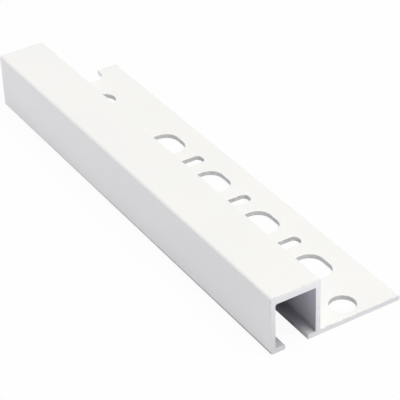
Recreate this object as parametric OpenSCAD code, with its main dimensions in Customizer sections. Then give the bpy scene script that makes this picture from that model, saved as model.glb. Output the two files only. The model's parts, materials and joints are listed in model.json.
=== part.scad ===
// Square-edge tile trim: a short length of a box-section profile with a perforated anchoring leg.
// X runs across the section from the visible front wall to the edge of the leg, Y along the length, Z up.
// The origin is under the middle of the section's width and length, on the plane that the trim lies on.

/* [Profile] */
// Length of the cut piece
length = 85.5; // [40:0.5:300]
// Height of the profile, which is the depth of tile and adhesive that it finishes
profile_h = 10; // [7:0.5:15]
// Width of the visible square edge
box_w = 8.6; // [7:0.1:12]
// Width of the base, from the front wall's outer face to the edge of the leg
base_w = 23.1; // [19:0.1:40]

/* [Walls] */
// Thickness of the front wall
front_wall = 0.8; // [0.6:0.05:1.4]
// Thickness of the top wall
top_wall = 1.25; // [0.6:0.05:1.6]
// Thickness of the inner wall, which the tile meets
inner_wall = 0.85; // [0.6:0.05:1.4]
// Thickness of the anchoring leg and of the lip that carries it on under the box
leg_t = 0.85; // [0.6:0.05:1.4]
// Thickness of the front wall's foot
foot_t = 0.85; // [0.6:0.05:1.4]

/* [Lips] */
// How far the foot reaches in from the front wall's inner face
foot_reach = 1.7; // [1:0.1:2.2]
// How far the base reaches in from the inner wall's inner face
lip_reach = 1.35; // [0.8:0.05:2]

/* [Edges] */
// Radius of the long edge between the front and the top
outer_r = 0.5; // [0.2:0.05:0.8]
// Radius of the other long outer edges
arris_r = 0.3; // [0.1:0.05:0.4]
// Radius inside the box, between the front wall and the top wall
fillet_r = 0.35; // [0.2:0.05:1]
// Radius in the other inside corners
root_r = 0.2; // [0.1:0.05:0.4]

/* [Round holes] */
// Diameter of the round fixing holes
hole_d = 4.2; // [3:0.1:6]
// Distance from the near end to the middle of the first round hole
first_hole = 3.1; // [2.6:0.1:12]
// How far the round holes sit from the middle of the leg, towards the box
hole_shift = 1; // [0:0.05:1.5]
// Length of one repeat of the punching, from round hole to round hole
repeat_pitch = 72.3; // [66:0.1:120]

/* [Slots] */
// Distance from a round hole's middle to the first slot after it
slot_lead = 6.8; // [5:0.1:12]
// Reach of the slots across the leg
slot_l = 6.5; // [4:0.1:8]
// Width along the trim of a wide slot
wide_slot = 6.6; // [4.5:0.1:7.5]
// Width along the trim of the narrow slot between two wide ones
narrow_slot = 2.2; // [1.5:0.1:3]
// Metal left between two slots
slot_gap = 2.75; // [1.5:0.05:3.5]
// Wide slots in one repeat
wide_count = 4; // [1:1:4]
// Corner radius of the slots, limited by their width
slot_r = 2.4; // [0.5:0.1:3]

/* [Hidden] */
$fn = 64;

// overlap that keeps a cut or a fillet from ending on the face it meets
lap = 0.2;
// largest share of a slot's width or reach that its corner radius takes
corner_share = 0.4;

// section, from the front wall's outer face and the base
inside_x = box_w - inner_wall;
inside_z = profile_h - top_wall;
foot_tip = front_wall + foot_reach;
lip_tip = inside_x - lip_reach;

// punching, from the front wall's outer face and the near end
slot_x = (box_w + base_w) / 2;
hole_x = slot_x - hole_shift;
slot_step = wide_slot + narrow_slot + 2 * slot_gap;
repeats = ceil((length - first_hole) / repeat_pitch);

// outside corners as [x, z, turn, radius], where turn 0 has the metal towards +x and +z
outside_corners = [
    [0, 0, 0, arris_r],
    [0, profile_h, -90, outer_r],
    [box_w, profile_h, 180, arris_r],
    [foot_tip, 0, 90, arris_r],
    [foot_tip, foot_t, 180, arris_r],
    [lip_tip, leg_t, -90, root_r],
    [base_w, 0, 90, arris_r],
    [base_w, leg_t, 180, arris_r],
];
// inside corners in the same form, where turn 0 has the open space towards +x and +z
inside_corners = [
    [front_wall, foot_t, 0, root_r],
    [front_wall, inside_z, -90, fillet_r],
    [inside_x, inside_z, 180, root_r],
    [inside_x, leg_t, 90, root_r],
    [box_w, leg_t, 0, root_r],
];

// what lies between a corner and the arc that rounds it, with an overlap outside the corner
module corner_piece(r) {
    difference() {
        translate([-lap, -lap])
            square(lap + r);
        translate([r, r])
            circle(r);
    }
}

module at_corners(corners) {
    for (c = corners)
        translate([c[0], c[1]])
            rotate(c[2])
                corner_piece(c[3]);
}

module walls() {
    square([front_wall, profile_h]);
    translate([0, inside_z])
        square([box_w, top_wall]);
    translate([inside_x, 0])
        square([inner_wall, profile_h]);
    square([foot_tip, foot_t]);
    translate([lip_tip, 0])
        square([base_w - lip_tip, leg_t]);
}

module section() {
    difference() {
        union() {
            walls();
            at_corners(inside_corners);
        }
        at_corners(outside_corners);
    }
}

// outline of a slot with its near edge on the x axis, centred across the leg
module slot_outline(w) {
    r = min(slot_r, corner_share * w, corner_share * slot_l);
    translate([-slot_l / 2, r])
        square([slot_l, w - 2 * r]);
    translate([r - slot_l / 2, 0])
        square([slot_l - 2 * r, w]);
    for (x = [r - slot_l / 2, slot_l / 2 - r], y = [r, w - r])
        translate([x, y])
            circle(r);
}

module slot(y, w) {
    if (y < length)
        translate([slot_x, y, -lap])
            linear_extrude(leg_t + 2 * lap)
                slot_outline(w);
}

// one repeat of the punching, from its round hole on
module punching(hole_y) {
    translate([hole_x, hole_y, -lap])
        cylinder(d = hole_d, h = leg_t + 2 * lap);
    for (i = [0 : wide_count - 1])
        slot(hole_y + slot_lead + i * slot_step, wide_slot);
    for (i = [0 : 1 : wide_count - 2])
        slot(hole_y + slot_lead + wide_slot + slot_gap + i * slot_step, narrow_slot);
}

module trim_profile() {
    color("whitesmoke")
        translate([-base_w / 2, -length / 2, 0])
            difference() {
                translate([0, length, 0])
                    rotate([90, 0, 0])
                        linear_extrude(length)
                            section();
                for (k = [0 : repeats - 1])
                    punching(first_hole + k * repeat_pitch);
            }
}

trim_profile();
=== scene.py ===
import json
import math

import bmesh
import bpy
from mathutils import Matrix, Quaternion, Vector


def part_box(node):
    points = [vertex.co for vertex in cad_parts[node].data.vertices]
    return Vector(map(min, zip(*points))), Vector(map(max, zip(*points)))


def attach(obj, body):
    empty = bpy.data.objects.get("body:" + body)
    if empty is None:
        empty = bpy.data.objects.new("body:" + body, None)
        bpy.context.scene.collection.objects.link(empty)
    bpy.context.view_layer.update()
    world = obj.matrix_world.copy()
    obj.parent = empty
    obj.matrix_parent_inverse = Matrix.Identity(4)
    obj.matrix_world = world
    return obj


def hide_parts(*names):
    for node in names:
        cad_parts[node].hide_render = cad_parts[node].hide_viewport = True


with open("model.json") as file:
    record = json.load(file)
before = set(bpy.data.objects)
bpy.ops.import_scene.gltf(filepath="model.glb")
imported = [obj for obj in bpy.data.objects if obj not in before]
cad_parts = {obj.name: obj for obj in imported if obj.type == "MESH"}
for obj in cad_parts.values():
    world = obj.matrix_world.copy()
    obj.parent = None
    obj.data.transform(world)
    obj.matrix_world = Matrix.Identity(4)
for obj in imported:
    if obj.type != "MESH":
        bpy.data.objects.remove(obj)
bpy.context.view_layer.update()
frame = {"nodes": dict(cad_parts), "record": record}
print("frame loaded:", sorted(frame["nodes"]))

mm = 0.001
record = frame["record"]
trimNode = frame["nodes"]["trim_profile"]
trimLow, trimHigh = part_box("trim_profile")
mounts = {m["name"]: m for m in record["mounts"]}
boxSide = mounts["tile_stop"]["pos_m"][0]  # where the box ends and the leg begins
openings = {o["name"]: [Vector(c) for c in o["box_m"]] for o in record["physics"]["openings"]}


# camera at the photo's angle, on a long lens
viewSettings = {
    "azimuth": -30.86,  # degrees round from the near end
    "elevation": 34.02,
    "roll": -2.07,
    "lens": 145.1,
    "distance": 263.7 * mm,
    "clipStart": 10 * mm,
    "aimAcross": 1.09 * mm,  # from the middle of the base
    "aimAlong": -3.36 * mm,
}


def makeCamera(settings):
    turn = math.radians(settings["azimuth"])
    rise = math.radians(settings["elevation"])
    level = math.cos(rise)
    back = Vector((math.sin(turn) * level, -math.cos(turn) * level, math.sin(rise)))
    middle = (trimLow + trimHigh) / 2
    aim = Vector((middle.x + settings["aimAcross"], middle.y + settings["aimAlong"], trimLow.z))
    data = bpy.data.cameras.new("photoCamera")
    data.lens = settings["lens"]
    data.clip_start = settings["clipStart"]
    camera = bpy.data.objects.new("photoCamera", data)
    camera.location = aim + back * settings["distance"]
    camera.rotation_mode = "QUATERNION"
    roll = Quaternion((0, 0, 1), math.radians(settings["roll"]))
    camera.rotation_quaternion = back.to_track_quat("Z", "Y") @ roll
    bpy.context.scene.collection.objects.link(camera)
    bpy.context.scene.camera = camera


makeCamera(viewSettings)
print("camera placed")


# small helpers for node trees, where a socket's blank is written as an underscore
def addNode(tree, kind, **inputs):
    node = tree.nodes.new(kind)
    for name, value in inputs.items():
        node.inputs[name.replace("_", " ")].default_value = value
    return node


def addMath(tree, operation, first, second=0.0):
    node = tree.nodes.new("ShaderNodeMath")
    node.operation = operation
    for socket, value in zip(node.inputs, (first, second)):
        if isinstance(value, (int, float)):
            socket.default_value = value
        else:
            tree.links.new(value, socket)
    return node.outputs[0]


def addRamp(tree, source, fromMin, fromMax, toMin, toMax):
    limits = {"From_Min": fromMin, "From_Max": fromMax, "To_Min": toMin, "To_Max": toMax}
    node = addNode(tree, "ShaderNodeMapRange", **limits)
    tree.links.new(source, node.inputs["Value"])
    return node.outputs[0]


def addMix(tree, share, first, second):
    node = tree.nodes.new("ShaderNodeMix")
    node.data_type = "RGBA"
    tree.links.new(share, node.inputs["Factor"])
    for name, value in (("A", first), ("B", second)):
        socket = next(s for s in node.inputs if s.name == name and s.type == "RGBA")
        if isinstance(value, (tuple, list)):
            socket.default_value = (*value, 1)
        else:
            tree.links.new(value, socket)
    return next(s for s in node.outputs if s.type == "RGBA")


def makeGroup(name, inputs, outputs):
    tree = bpy.data.node_groups.new(name, "ShaderNodeTree")
    for label, kind, value in inputs:
        socket = tree.interface.new_socket(label, in_out="INPUT", socket_type=kind)
        if value is not None:
            socket.default_value = value
    for label, kind in outputs:
        tree.interface.new_socket(label, in_out="OUTPUT", socket_type=kind)
    return tree, tree.nodes.new("NodeGroupInput").outputs, tree.nodes.new("NodeGroupOutput").inputs


def useGroup(tree, group, **inputs):
    node = tree.nodes.new("ShaderNodeGroup")
    node.node_tree = group
    for name, value in inputs.items():
        node.inputs[name].default_value = value
    return node


def makeMaterial(name):
    material = bpy.data.materials.new(name)
    material.use_nodes = True
    tree = material.node_tree
    return material, tree, tree.nodes["Principled BSDF"]


def objectPlace(tree):
    return tree.nodes.new("ShaderNodeTexCoord").outputs["Object"]


def splitPlace(tree, place):
    node = tree.nodes.new("ShaderNodeSeparateXYZ")
    tree.links.new(place, node.inputs[0])
    return node.outputs


def addBump(tree, shader, height, distance):
    bump = addNode(tree, "ShaderNodeBump", Strength=1.0, Distance=distance)
    tree.links.new(height, bump.inputs["Height"])
    tree.links.new(bump.outputs["Normal"], shader.inputs["Normal"])


def mixSurface(tree, share, first, second, output):
    mix = tree.nodes.new("ShaderNodeMixShader")
    for source, socket in zip((share, first.outputs[0], second.outputs[0]), mix.inputs):
        tree.links.new(source, socket)
    tree.links.new(mix.outputs[0], tree.nodes[output].inputs["Surface"])


# sprayed powder: a soft orange peel with a fine pebble on it, and a slow drift of tone
peelSettings = {
    "peel": {"Detail": 1.5, "Roughness": 0.4},
    "pebble": {"Detail": 2.0, "Roughness": 0.55},
    "drift": {"Detail": 2.0, "Roughness": 0.5, "Scale": 70.0},
    "pebbleFineness": 4.3,  # times as fine as the peel
    "pebbleShare": 0.3,
    "driftRange": (0.3, 0.7),
}


def makePeelGroup(settings):
    tree, given, out = makeGroup(
        "coatPeel",
        [("Place", "NodeSocketVector", None), ("PeelSize", "NodeSocketFloat", 1 * mm)],
        [("Height", "NodeSocketFloat"), ("Drift", "NodeSocketFloat")],
    )
    peel = addNode(tree, "ShaderNodeTexNoise", **settings["peel"])
    pebble = addNode(tree, "ShaderNodeTexNoise", **settings["pebble"])
    drift = addNode(tree, "ShaderNodeTexNoise", **settings["drift"])
    perMetre = addMath(tree, "DIVIDE", 1.0, given["PeelSize"])
    tree.links.new(perMetre, peel.inputs["Scale"])
    finer = addMath(tree, "MULTIPLY", perMetre, settings["pebbleFineness"])
    tree.links.new(finer, pebble.inputs["Scale"])
    for noise in (peel, pebble, drift):
        tree.links.new(given["Place"], noise.inputs["Vector"])
    fine = addMath(tree, "MULTIPLY", pebble.outputs[0], settings["pebbleShare"])
    tree.links.new(addMath(tree, "ADD", peel.outputs[0], fine), out["Height"])
    drifted = addRamp(tree, drift.outputs[0], *settings["driftRange"], 0.0, 1.0)
    tree.links.new(drifted, out["Drift"])
    return tree


# drawn, sawn or punched metal: fine lines that run the way the place is stretched
lineSettings = {
    "lines": {"Detail": 4.0, "Roughness": 0.65, "Scale": 1.0},
    "bands": {"Detail": 1.0, "Roughness": 0.5, "Scale": 0.23},
    "streakRange": (0.7, 1.3),  # of lines and bands together
}


def makeLineGroup(settings):
    tree, given, out = makeGroup(
        "metalLines",
        [("Place", "NodeSocketVector", None), ("Stretch", "NodeSocketVector", None)],
        [("Height", "NodeSocketFloat"), ("Streak", "NodeSocketFloat")],
    )
    stretched = tree.nodes.new("ShaderNodeVectorMath")
    stretched.operation = "MULTIPLY"
    tree.links.new(given["Place"], stretched.inputs[0])
    tree.links.new(given["Stretch"], stretched.inputs[1])
    lines = addNode(tree, "ShaderNodeTexNoise", **settings["lines"])
    bands = addNode(tree, "ShaderNodeTexNoise", **settings["bands"])
    for noise in (lines, bands):
        tree.links.new(stretched.outputs[0], noise.inputs["Vector"])
    tree.links.new(lines.outputs[0], out["Height"])
    both = addMath(tree, "ADD", lines.outputs[0], bands.outputs[0])
    streak = addRamp(tree, both, *settings["streakRange"], 0.0, 1.0)
    tree.links.new(streak, out["Streak"])
    return tree


# full at the end that Along runs to, and gone at the reach from it
def makeEndGroup():
    tree, given, out = makeGroup(
        "nearEnd",
        [("Along", "NodeSocketFloat", 0.0), ("Reach", "NodeSocketFloat", 1 * mm)],
        [("Mask", "NodeSocketFloat")],
    )
    away = addMath(tree, "SUBTRACT", trimHigh.y, given["Along"])
    gone = addMath(tree, "DIVIDE", away, given["Reach"])
    tree.links.new(addRamp(tree, gone, 0.0, 1.0, 1.0, 0.0), out["Mask"])
    return tree


peelGroup = makePeelGroup(peelSettings)
lineGroup = makeLineGroup(lineSettings)
endGroup = makeEndGroup()


def endMask(tree, along, reach):
    end = useGroup(tree, endGroup, Reach=reach)
    tree.links.new(along, end.inputs["Along"])
    return end.outputs["Mask"]


coatSettings = {
    "light": (0.908, 0.908, 0.894),
    "deep": (0.888, 0.890, 0.878),
    "roughness": (0.34, 0.44),
    "peelSize": 0.9 * mm,
    "peelDepth": 0.004 * mm,
    "peelRange": (0.4, 0.9),  # of the peel's height, from its dips to its tops
    "baseShade": (0.36, 0.355, 0.37),  # painted shade along the lower front edge
    "baseShadeReach": 0.6 * mm,
    "baseShadeFull": 0.6,  # share of the reach before it fades out
    "baseShadeFade": (1.1, 0.1),  # from the near end to the far one
    "chip": (0.66, 0.66, 0.68),  # coat broken away along the saw cuts
    "chipReach": 0.16 * mm,
    "chipRagged": (-1.0, 0.5),  # how far the peel shifts the chips' edge, in shares of the reach
}


def makeCoat(settings):
    material, tree, shader = makeMaterial("whiteCoat")
    place = objectPlace(tree)
    peel = useGroup(tree, peelGroup, PeelSize=settings["peelSize"])
    tree.links.new(place, peel.inputs["Place"])
    peelHeight = peel.outputs["Height"]
    tone = addMix(tree, peel.outputs["Drift"], settings["deep"], settings["light"])
    across, along, height = splitPlace(tree, place)
    # painted shade along the lower front edge, strongest at the near end and fading towards the far
    # one
    shadeEnd = settings["baseShadeReach"]
    shadeStart = settings["baseShadeFull"] * shadeEnd
    low = addRamp(tree, height, trimLow.z + shadeStart, trimLow.z + shadeEnd, 1.0, 0.0)
    front = addRamp(tree, across, trimLow.x + shadeStart, trimLow.x + shadeEnd, 1.0, 0.0)
    fade = addRamp(tree, along, trimLow.y, trimHigh.y, *settings["baseShadeFade"])
    baseShade = addMath(tree, "MULTIPLY", addMath(tree, "MULTIPLY", low, front), fade)
    tone = addMix(tree, baseShade, tone, settings["baseShade"])
    chipReach = settings["chipReach"]
    shifts = [share * chipReach for share in settings["chipRagged"]]
    ragged = addRamp(tree, peelHeight, *settings["peelRange"], *shifts)
    fromMiddle = addMath(tree, "ABSOLUTE", along)
    chipped = endMask(tree, addMath(tree, "ADD", fromMiddle, ragged), chipReach)
    tone = addMix(tree, chipped, tone, settings["chip"])
    tree.links.new(tone, shader.inputs["Base Color"])
    rough = addRamp(tree, peelHeight, *settings["peelRange"], *settings["roughness"])
    tree.links.new(rough, shader.inputs["Roughness"])
    addBump(tree, shader, peelHeight, settings["peelDepth"])
    return material


# lined metal with its roughness and bump; what it hands back is for the tone
def makeLined(name, settings):
    material, tree, shader = makeMaterial(name)
    place = objectPlace(tree)
    lines = useGroup(tree, lineGroup, Stretch=settings["stretch"])
    tree.links.new(place, lines.inputs["Place"])
    streak = lines.outputs["Streak"]
    rough = addRamp(tree, streak, 0.0, 1.0, *settings["roughness"])
    tree.links.new(rough, shader.inputs["Roughness"])
    addBump(tree, shader, lines.outputs["Height"], settings["lineDepth"])
    return material, tree, shader, splitPlace(tree, place), streak


# metal, thinly coated, inside the channel and on the lips beside its slot; the lips and the foot
# top get darker tones that are painted shade
insideSettings = {
    "stretch": (9000, 120, 9000),  # die lines along the length
    "lineDepth": 0.003 * mm,
    "roughness": (0.55, 0.65),
    "thinCoat": {
        "light": (0.80, 0.805, 0.88),
        "deep": (0.655, 0.66, 0.725),
        "foot": (0.16, 0.16, 0.178),  # painted shade, darker down the wall towards the inside corner
        "footShare": 0.66,
    },
    # painted light near the ends, where light comes in at the mouth: how far it reaches in, and how
    # much of it there is at the mouth
    "lipTop": {
        "light": (0.36, 0.361, 0.395),
        "deep": (0.30, 0.301, 0.33),
        "endLight": (2.9 * mm, 0.48),
    },
    "lipEdge": {
        "light": (0.16, 0.16, 0.175),
        "deep": (0.12, 0.12, 0.135),
        "endLight": (4 * mm, 0.65),
    },
    "footTop": {
        "light": (0.49, 0.49, 0.52),
        "deep": (0.41, 0.41, 0.44),
        "endLight": (3 * mm, 0.2),
    },
}


def makeInside(name, settings):
    material, tree, shader, (_, along, height), streak = makeLined(name, settings)
    own = settings[name]
    tone = addMix(tree, streak, own["deep"], own["light"])
    # painted light near the ends, where light comes in at the mouth
    if "endLight" in own:
        fromMiddle = addMath(tree, "ABSOLUTE", along)
        endLightReach, endLightShare = own["endLight"]
        endLight = addMath(tree, "MULTIPLY", endMask(tree, fromMiddle, endLightReach), endLightShare)
        tone = addMix(tree, endLight, tone, coatSettings["light"])
    # painted shade, darker towards the bottom of the channel
    if "foot" in own:
        channelLow, channelHigh = openings["channel"]
        low = addRamp(tree, height, channelLow.z, channelHigh.z, own["footShare"], 0.0)
        tone = addMix(tree, low, tone, own["foot"])
    tree.links.new(tone, shader.inputs["Base Color"])
    return material


sawnSettings = {
    "light": (0.955, 0.952, 0.978),
    "deep": (0.632, 0.627, 0.640),
    "rise": 0.85,  # painted shade and light: how much of the tone comes with height, from the deep base to the light top
    "lean": 4.6 * mm,  # what the way across the box adds to the height
    "climb": 14.5 * mm,  # from the deep tone to the light one
    "metallic": 0.15,
    "roughness": (0.36, 0.5),
    "stretch": (700, 700, 9000),  # saw lines across the section
    "lineDepth": 0.006 * mm,
}


def makeSawn(settings):
    material, tree, shader, (across, _, height), streak = makeLined("sawnEnd", settings)
    # painted shade and light: the sawn end darker low and at the front, lighter high and towards
    # the leg
    lean = addRamp(tree, across, trimLow.x, boxSide, 0.0, settings["lean"])
    climbed = addMath(tree, "ADD", height, lean)
    rise = addRamp(tree, climbed, trimLow.z, trimLow.z + settings["climb"], 0.0, settings["rise"])
    rest = addRamp(tree, streak, 0.0, 1.0, 0.0, 1 - settings["rise"])
    tone = addMix(tree, addMath(tree, "ADD", rise, rest), settings["deep"], settings["light"])
    tree.links.new(tone, shader.inputs["Base Color"])
    shader.inputs["Metallic"].default_value = settings["metallic"]
    return material


punchedSettings = {
    "light": (0.625, 0.625, 0.62),
    "deep": (0.485, 0.485, 0.48),
    "roughness": (0.4, 0.55),
    "stretch": (6000, 6000, 400),  # scuffs down the wall from the punch
    "lineDepth": 0.004 * mm,
    "endLightReach": 6 * mm,  # painted light from the far end, on the walls where the cut opens a slot
}


def makePunched(settings):
    material, tree, shader, (_, along, _), streak = makeLined("punchedWall", settings)
    tone = addMix(tree, streak, settings["deep"], settings["light"])
    # painted light on the punched walls near the far end
    endLight = endMask(tree, along, settings["endLightReach"])
    tone = addMix(tree, endLight, tone, coatSettings["light"])
    tree.links.new(tone, shader.inputs["Base Color"])
    return material


finishes = {
    "coat": makeCoat(coatSettings),
    "inside": makeInside("thinCoat", insideSettings),
    # painted shade: the lip top, the lip's edge and the foot top are darker copies of the inside
    # finish
    "lipTop": makeInside("lipTop", insideSettings),
    "lipEdge": makeInside("lipEdge", insideSettings),
    "footTop": makeInside("footTop", insideSettings),
    "sawn": makeSawn(sawnSettings),
    "punched": makePunched(punchedSettings),
}
print("finishes made:", ", ".join(finishes))


# the trim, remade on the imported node's own sizes with finer arcs and broken edges
trimSettings = {
    "topRound": 0.5 * mm,
    "arris": 0.3 * mm,
    "inFillet": 0.35 * mm,
    "root": 0.2 * mm,
    "slotRound": 2.4 * mm,
    "slotShare": 0.4,  # most of a slot's width that a corner takes
    "cornerSteps": 10,
    "holeSteps": 72,
    "rimRoll": 0.13 * mm,  # rolled edge where the punch went in
    "rimBreak": 0.05 * mm,  # underside of the punching
    "endBreak": 0.06 * mm,  # deburred saw cuts
    "edgeSteps": 3,
    "sharp": math.radians(50),  # edges that turn by more than this are broken
    "near": 0.02 * mm,  # how close counts as lying on a plane
    "squareOn": 0.9,  # a sawn face's normal runs along the trim by more than this
    "upright": 0.5,  # a punched face's normal runs up or down by less than this
}

left = Vector((-1, 0, 0))
right = Vector((1, 0, 0))
behind = Vector((0, -1, 0))
ahead = Vector((0, 1, 0))
down = Vector((0, 0, -1))
up = Vector((0, 0, 1))


def reach(start, direction):
    hit, place, _, _ = trimNode.ray_cast(start, direction)
    assert hit, "a measuring ray met nothing"
    return place


def middleOf(name):
    low, high = openings[name]
    return (low + high) / 2


# what the section measures, read off the node by rays from inside the channel
def measureSection(settings):
    inside = middleOf("channel")
    sizes = {
        "front": trimLow.x,
        "legEdge": trimHigh.x,
        "top": trimHigh.z,
        "boxSide": boxSide,
        "legTop": mounts["leg_top"]["pos_m"][2],
        "frontInside": reach(inside, left).x,
        "stopInside": reach(inside, right).x,
        "ceiling": reach(inside, up).z,
    }
    step = 2 * settings["arris"]  # clear of the rounded corners
    sizes["footTop"] = reach(Vector((sizes["frontInside"] + step, inside.y, inside.z)), down).z
    sizes["lipTop"] = reach(Vector((sizes["stopInside"] - step, inside.y, inside.z)), down).z
    inSlot = Vector((inside.x, inside.y, sizes["footTop"] / 2))
    sizes["footTip"] = reach(inSlot, left).x
    sizes["lipTip"] = reach(inSlot, right).x
    return sizes


# corners as (u, v, radius), turned into a run of points with an arc at each corner
def roundedOutline(corners, steps):
    points = []
    for i, (u, v, radius) in enumerate(corners):
        corner = Vector((u, v))
        toLast = (Vector(corners[i - 1][:2]) - corner).normalized()
        toNext = (Vector(corners[(i + 1) % len(corners)][:2]) - corner).normalized()
        if radius == 0:
            points.append(corner)
            continue
        half = toLast.angle(toNext) / 2
        centre = corner + (toLast + toNext).normalized() * radius / math.sin(half)
        first = corner + toLast * radius / math.tan(half) - centre
        last = corner + toNext * radius / math.tan(half) - centre
        start = math.atan2(first.y, first.x)
        sweep = math.remainder(math.atan2(last.y, last.x) - start, 2 * math.pi)
        for k in range(steps + 1):
            angle = start + sweep * k / steps
            points.append(centre + radius * Vector((math.cos(angle), math.sin(angle))))
    return points


def sectionOutline(s, settings):
    arris, root = settings["arris"], settings["root"]
    return roundedOutline([
        (s["front"], 0, arris),
        (s["footTip"], 0, arris),
        (s["footTip"], s["footTop"], arris),
        (s["frontInside"], s["footTop"], root),
        (s["frontInside"], s["ceiling"], settings["inFillet"]),
        (s["stopInside"], s["ceiling"], root),
        (s["stopInside"], s["lipTop"], root),
        (s["lipTip"], s["lipTop"], root),
        (s["lipTip"], 0, 0),
        (s["legEdge"], 0, arris),
        (s["legEdge"], s["legTop"], arris),
        (s["boxSide"], s["legTop"], root),
        (s["boxSide"], s["top"], arris),
        (s["front"], s["top"], settings["topRound"]),
    ], settings["cornerSteps"])


# a slot's outline from rays that start anywhere in its middle
def slotOutline(start, settings):
    lowX, highX = reach(start, left).x, reach(start, right).x
    lowY, highY = reach(start, behind).y, reach(start, ahead).y
    most = settings["slotShare"] * min(highX - lowX, highY - lowY)
    radius = min(settings["slotRound"], most)
    corners = (lowX, lowY), (highX, lowY), (highX, highY), (lowX, highY)
    return roundedOutline([(x, y, radius) for x, y in corners], settings["cornerSteps"])


def holeOutline(mount, settings):
    x, y, _ = mount["pos_m"]
    radius = mount["dims"]["r_mm"] * mm
    turns = [2 * math.pi * k / settings["holeSteps"] for k in range(settings["holeSteps"])]
    return [Vector((x + radius * math.cos(a), y + radius * math.sin(a))) for a in turns]


def punchOutlines(sizes, settings):
    mid = sizes["legTop"] / 2
    holes = [m for m in mounts.values() if m["kind"] == "bore"]
    outlines = [holeOutline(m, settings) for m in holes]
    wide = [middleOf(n) for n in sorted(openings) if n.startswith("wide_slot")]
    for place in wide:
        outlines.append(slotOutline(Vector((place.x, place.y, mid)), settings))
    for one, other in zip(wide, wide[1:]):
        outlines.append(slotOutline(Vector((one.x, (one.y + other.y) / 2, mid)), settings))
    # the wide slot of the next repeat, which the far cut runs through
    repeat = holes[1]["pos_m"][1] - holes[0]["pos_m"][1]
    outlines.append([p + Vector((0, repeat)) for p in outlines[len(holes)]])
    return outlines


# a closed prism from an outline, where lift(point, end) puts an outline point in space
def addPrism(bm, outline, lift):
    rings = [[bm.verts.new(lift(p, end)) for p in outline] for end in (0, 1)]
    count = len(outline)
    for i in range(count):
        j = (i + 1) % count
        bm.faces.new((rings[0][i], rings[0][j], rings[1][j], rings[1][i]))
    for ring in rings:
        bm.faces.new(ring)
    bmesh.ops.recalc_face_normals(bm, faces=bm.faces)


def meshObject(name, bm):
    mesh = bpy.data.meshes.new(name)
    bm.to_mesh(mesh)
    bm.free()
    piece = bpy.data.objects.new(name, mesh)
    bpy.context.scene.collection.objects.link(piece)
    return piece


# puts what a modifier makes in the mesh itself
def settle(piece, modifier):
    graph = bpy.context.evaluated_depsgraph_get()
    mesh = bpy.data.meshes.new_from_object(piece.evaluated_get(graph))
    piece.modifiers.remove(modifier)
    piece.data = mesh


def cutBy(piece, cutter):
    cut = piece.modifiers.new("cut", "BOOLEAN")
    cut.operation = "DIFFERENCE"
    cut.solver = "EXACT"
    cut.object = cutter
    settle(piece, cut)
    bpy.data.objects.remove(cutter)


def edgeBreak(edge, s, settings):
    near = settings["near"]
    places = [v.co for v in edge.verts]
    if any(all(abs(p.y - end) < near for p in places) for end in (trimLow.y, trimHigh.y)):
        return settings["endBreak"]
    if all(abs(p.z - s["legTop"]) < near for p in places):
        return settings["rimRoll"]
    return settings["rimBreak"]


def breakEdges(piece, s, settings):
    widest = max(settings["rimRoll"], settings["rimBreak"], settings["endBreak"])
    bm = bmesh.new()
    bm.from_mesh(piece.data)
    weights = bm.edges.layers.float.new("bevel_weight_edge")
    for edge in bm.edges:
        if len(edge.link_faces) == 2 and edge.calc_face_angle() > settings["sharp"]:
            edge[weights] = edgeBreak(edge, s, settings) / widest
    bm.to_mesh(piece.data)
    bm.free()
    broken = piece.modifiers.new("brokenEdges", "BEVEL")
    broken.limit_method = "WEIGHT"
    broken.width = widest
    broken.segments = settings["edgeSteps"]
    settle(piece, broken)


def faceFinish(face, s, settings):
    near, root = settings["near"], settings["root"]
    centre, normal = face.calc_center_median(), face.normal
    atEnd = abs(centre.y - trimLow.y) < near or abs(centre.y - trimHigh.y) < near
    if atEnd and abs(normal.y) > settings["squareOn"]:
        return "sawn"
    onLeg = s["boxSide"] + root < centre.x < s["legEdge"] - settings["arris"]
    if onLeg and abs(normal.z) < settings["upright"] and centre.z < s["legTop"]:
        return "punched"
    low = near < centre.z < s["footTop"] + root + near
    if low and s["footTip"] + near < centre.x < s["lipTip"] + near:
        return "lipEdge"
    if low and s["lipTip"] < centre.x < s["stopInside"] - root:
        return "lipTop"
    if low and s["frontInside"] < centre.x < s["footTip"] + near:
        return "footTop"
    across = s["frontInside"] - near < centre.x < s["stopInside"] + near
    if across and s["footTop"] - near < centre.z < s["ceiling"] + near:
        return "inside"
    return "coat"


def finishFaces(piece, s, settings):
    names = list(finishes)
    for name in names:
        piece.data.materials.append(finishes[name])
    bm = bmesh.new()
    bm.from_mesh(piece.data)
    for face in bm.faces:
        face.smooth = True
        face.material_index = names.index(faceFinish(face, s, settings))
    bm.to_mesh(piece.data)
    bm.free()
    piece.modifiers.new("flatFaces", "WEIGHTED_NORMAL")


def makeTrim(settings):
    sizes = measureSection(settings)
    print("section in mm:", {k: round(v / mm, 2) for k, v in sizes.items()})
    punches = punchOutlines(sizes, settings)
    ends = (trimLow.y, trimHigh.y)
    body = bmesh.new()
    addPrism(body, sectionOutline(sizes, settings), lambda p, end: (p.x, ends[end], p.y))
    trim = meshObject("edgeTrim", body)
    through = (-sizes["legTop"], 2 * sizes["legTop"])  # past both faces of the leg
    tool = bmesh.new()
    for outline in punches:
        addPrism(tool, outline, lambda p, end: (p.x, p.y, through[end]))
    cutBy(trim, meshObject("punchTool", tool))
    breakEdges(trim, sizes, settings)
    finishFaces(trim, sizes, settings)
    return trim


trim = makeTrim(trimSettings)
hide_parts("trim_profile")
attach(trim, "root")
print("trim made:", len(trim.data.polygons), "faces")


# pale floor that stays white to the eye and still takes a soft shadow
floorSettings = {
    "half": 3.0,  # metres from the middle to a side
    "drop": 0.02 * mm,  # keeps it clear of the trim's base
    "colour": (0.87, 0.858, 0.91),
    "roughness": 0.9,
    "specular": 0.0,
    "glow": 1.0,
    "glowShare": 0.93,  # the rest of what the eye sees is the lit floor
}


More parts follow.
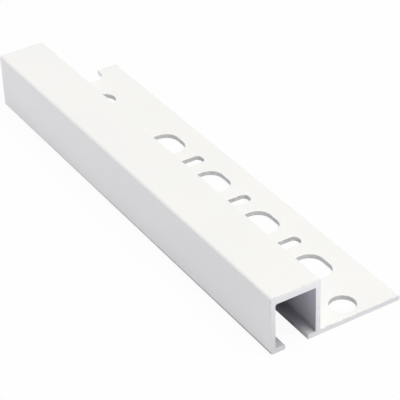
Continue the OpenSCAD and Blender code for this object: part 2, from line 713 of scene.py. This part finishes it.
# one for rays that show the background: straight, mirrored or seen through
def seenByEye(tree):
    path = tree.nodes.new("ShaderNodeLightPath").outputs
    seen = addMath(tree, "MAXIMUM", path["Is Camera Ray"], path["Is Glossy Ray"])
    return addMath(tree, "MAXIMUM", seen, path["Is Transmission Ray"])


def makeFloor(settings):
    bm = bmesh.new()
    half = settings["half"]
    corners = [(-half, -half), (half, -half), (half, half), (-half, half)]
    bm.faces.new([bm.verts.new((x, y, trimLow.z - settings["drop"])) for x, y in corners])
    floor = meshObject("floor", bm)
    material, tree, shader = makeMaterial("paleFloor")
    shader.inputs["Base Color"].default_value = (*settings["colour"], 1)
    shader.inputs["Roughness"].default_value = settings["roughness"]
    shader.inputs["Specular IOR Level"].default_value = settings["specular"]
    glow = addNode(tree, "ShaderNodeEmission", Strength=settings["glow"])
    share = addMath(tree, "MULTIPLY", seenByEye(tree), settings["glowShare"])
    mixSurface(tree, share, shader, glow, "Material Output")
    floor.data.materials.append(material)


makeFloor(floorSettings)
print("floor laid")


# an even room, a broad soft lamp above the near end and a small one low at the far left
lightSettings = {
    "room": 0.45,
    "roomColour": (0.98, 0.96, 1.0),
    "lamps": {
        "softLamp": {
            "power": 5.65,
            "side": 0.7,
            "place": (0.15, -0.35, 0.8),
            "colour": (1.0, 1.0, 0.945),
        },
        "fillLamp": {
            "power": 0.035,
            "side": 0.1,
            "place": (-0.11, 0.16, 0.06),
            "colour": (0.98, 0.98, 1.0),
        },
    },
}


def makeLamp(name, settings):
    data = bpy.data.lights.new(name, "AREA")
    data.energy = settings["power"]
    data.color = settings["colour"]
    data.size = settings["side"]
    lamp = bpy.data.objects.new(name, data)
    lamp.location = settings["place"]
    lamp.rotation_mode = "QUATERNION"
    lamp.rotation_quaternion = lamp.location.to_track_quat("Z", "Y")  # shines at the trim's middle
    lamp.visible_camera = False
    bpy.context.scene.collection.objects.link(lamp)


def makeLight(settings):
    world = bpy.data.worlds.new("studioRoom")
    world.use_nodes = True
    tree = world.node_tree
    room = tree.nodes["Background"]
    room.inputs["Color"].default_value = (*settings["roomColour"], 1)
    room.inputs["Strength"].default_value = settings["room"]
    white = addNode(tree, "ShaderNodeBackground", Strength=1.0, Color=(1, 1, 1, 1))
    mixSurface(tree, seenByEye(tree), room, white, "World Output")
    bpy.context.scene.world = world
    for name, lamp in settings["lamps"].items():
        makeLamp(name, lamp)


makeLight(lightSettings)
bpy.context.scene.view_settings.view_transform = "Standard"
print("light set")
